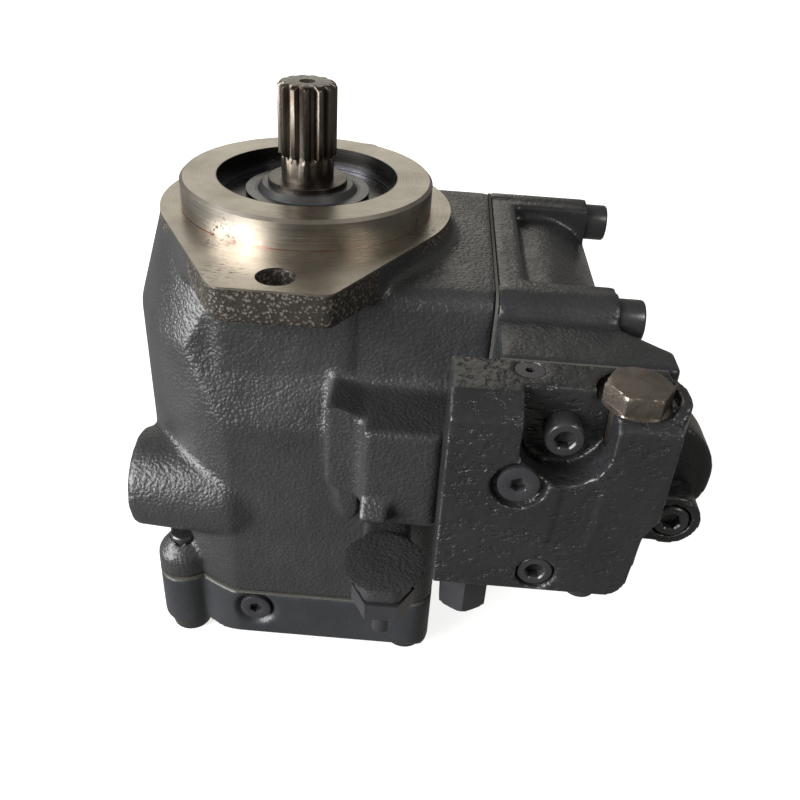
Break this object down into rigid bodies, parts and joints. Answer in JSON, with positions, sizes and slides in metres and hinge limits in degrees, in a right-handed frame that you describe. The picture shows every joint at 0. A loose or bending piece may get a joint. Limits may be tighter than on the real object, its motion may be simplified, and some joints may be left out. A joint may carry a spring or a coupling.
{
  "type": "axial piston pump",
  "caption": "Closed-circuit axial piston pump: flanged cast housing with splined shaft, swashplate rotating group, side servo housing and front control block.",
  "frame": {"origin": "centre of the mounting flange's face, on the shaft axis", "axes": "+Z along the shaft towards its splined end; +X towards the servo housing; -Y towards the control block; the flange's bolt holes lie on the Y axis"},
  "size_m": [0.2295, 0.2036, 0.2455],
  "materials": {
    "painted_iron": "black enamel over grained cast iron",
    "machined_iron": "turned bare iron with a light oil film",
    "black_oxide_steel": "black oxide under paint",
    "painted_steel": "black enamel on steel",
    "phosphated_steel": "phosphated grey-brown",
    "ground_steel": "ground steel with faint oil stains",
    "bearing_steel": "ground and polished",
    "cage_brass": "machined",
    "hardened_steel": "ground, nitrided",
    "bronze": "machined bronze",
    "spring_steel": "oil-tempered",
    "carrier_steel": "dark oiled steel",
    "seal_rubber": "nitrile rubber",
    "gasket_paper": "coated gasket paper"
  },
  "bodies": {
    "housing": {"adjuster_lock_nut": "painted_steel", "adjuster_plug": "painted_steel", "adjuster_screw": "painted_steel", "bottom_plug": "painted_steel", "carrier_o_ring": "seal_rubber", "carrier_retaining_ring": "spring_steel", "control_block": "painted_iron", "control_gasket": "gasket_paper", "control_screws": "black_oxide_steel", "control_top_plug": "painted_steel", "cradle_bearings": "bronze", "end_cover": "painted_iron", "end_cover_gasket": "gasket_paper", "end_cover_screws": "black_oxide_steel", "feedback_link": "ground_steel", "front_bearing_outer_ring": "bearing_steel", "main_housing": "painted_iron", "rear_bearing_outer_ring": "bearing_steel", "relief_plug": "phosphated_steel", "seal_carrier": "carrier_steel", "servo_cover": "painted_iron", "servo_cover_screws": "black_oxide_steel", "servo_gasket": "gasket_paper", "servo_housing": "painted_iron", "servo_housing_screws": "black_oxide_steel", "servo_piston": "hardened_steel", "shaft_seal_case": "carrier_steel", "shaft_seal_lip": "seal_rubber", "socket_plugs": "painted_steel", "spool_end_plug": "painted_steel", "spool_spring_left": "spring_steel", "spool_spring_right": "spring_steel", "swashplate": "hardened_steel", "test_port_plug": "painted_steel", "valve_plate": "bronze", "valve_plate_pin": "ground_steel"},
    "rotating_group": {"drive_shaft": "ground_steel", "front_bearing_inner_ring": "bearing_steel", "cylinder_block": "hardened_steel", "slippers": "bronze", "slipper_retainer": "hardened_steel", "ball_guide": "hardened_steel", "hold_down_pins": "ground_steel", "spring_washers": "hardened_steel", "block_snap_ring": "hardened_steel", "block_spring": "spring_steel", "piston_1": "hardened_steel", "piston_2": "hardened_steel", "piston_3": "hardened_steel", "piston_4": "hardened_steel", "piston_5": "hardened_steel", "piston_6": "hardened_steel", "piston_7": "hardened_steel", "piston_8": "hardened_steel", "piston_9": "hardened_steel"},
    "front_roller_set": {"front_bearing_rollers": "bearing_steel", "front_bearing_cage": "cage_brass"},
    "rear_roller_set": {"rear_bearing_rollers": "bearing_steel", "rear_bearing_cage": "cage_brass"},
    "spool": {"control_spool": "ground_steel"}
  },
  "joints": [
    {"name": "shaft_spin", "type": "hinge", "parent": "housing", "child": "rotating_group", "pos_m": [0, 0, 0], "axis": [0, 0, 1], "continuous": true},
    {"name": "front_rollers_spin", "type": "hinge", "parent": "housing", "child": "front_roller_set", "pos_m": [0, 0, 0], "axis": [0, 0, 1], "continuous": true},
    {"name": "rear_rollers_spin", "type": "hinge", "parent": "housing", "child": "rear_roller_set", "pos_m": [0, 0, 0], "axis": [0, 0, 1], "continuous": true},
    {"name": "spool_slide", "type": "slide", "parent": "housing", "child": "spool", "axis": [1, 0, 0], "range_m": [-0.003, 0.003], "stiffness_N_per_m": 900, "deforming": ["spool_spring_left", "spool_spring_right"]}
  ],
  "couplings": [
    {"joint": "front_rollers_spin", "follows": "shaft_spin", "ratio": 0.43673},
    {"joint": "rear_rollers_spin", "follows": "shaft_spin", "ratio": 0.41528}
  ]
}
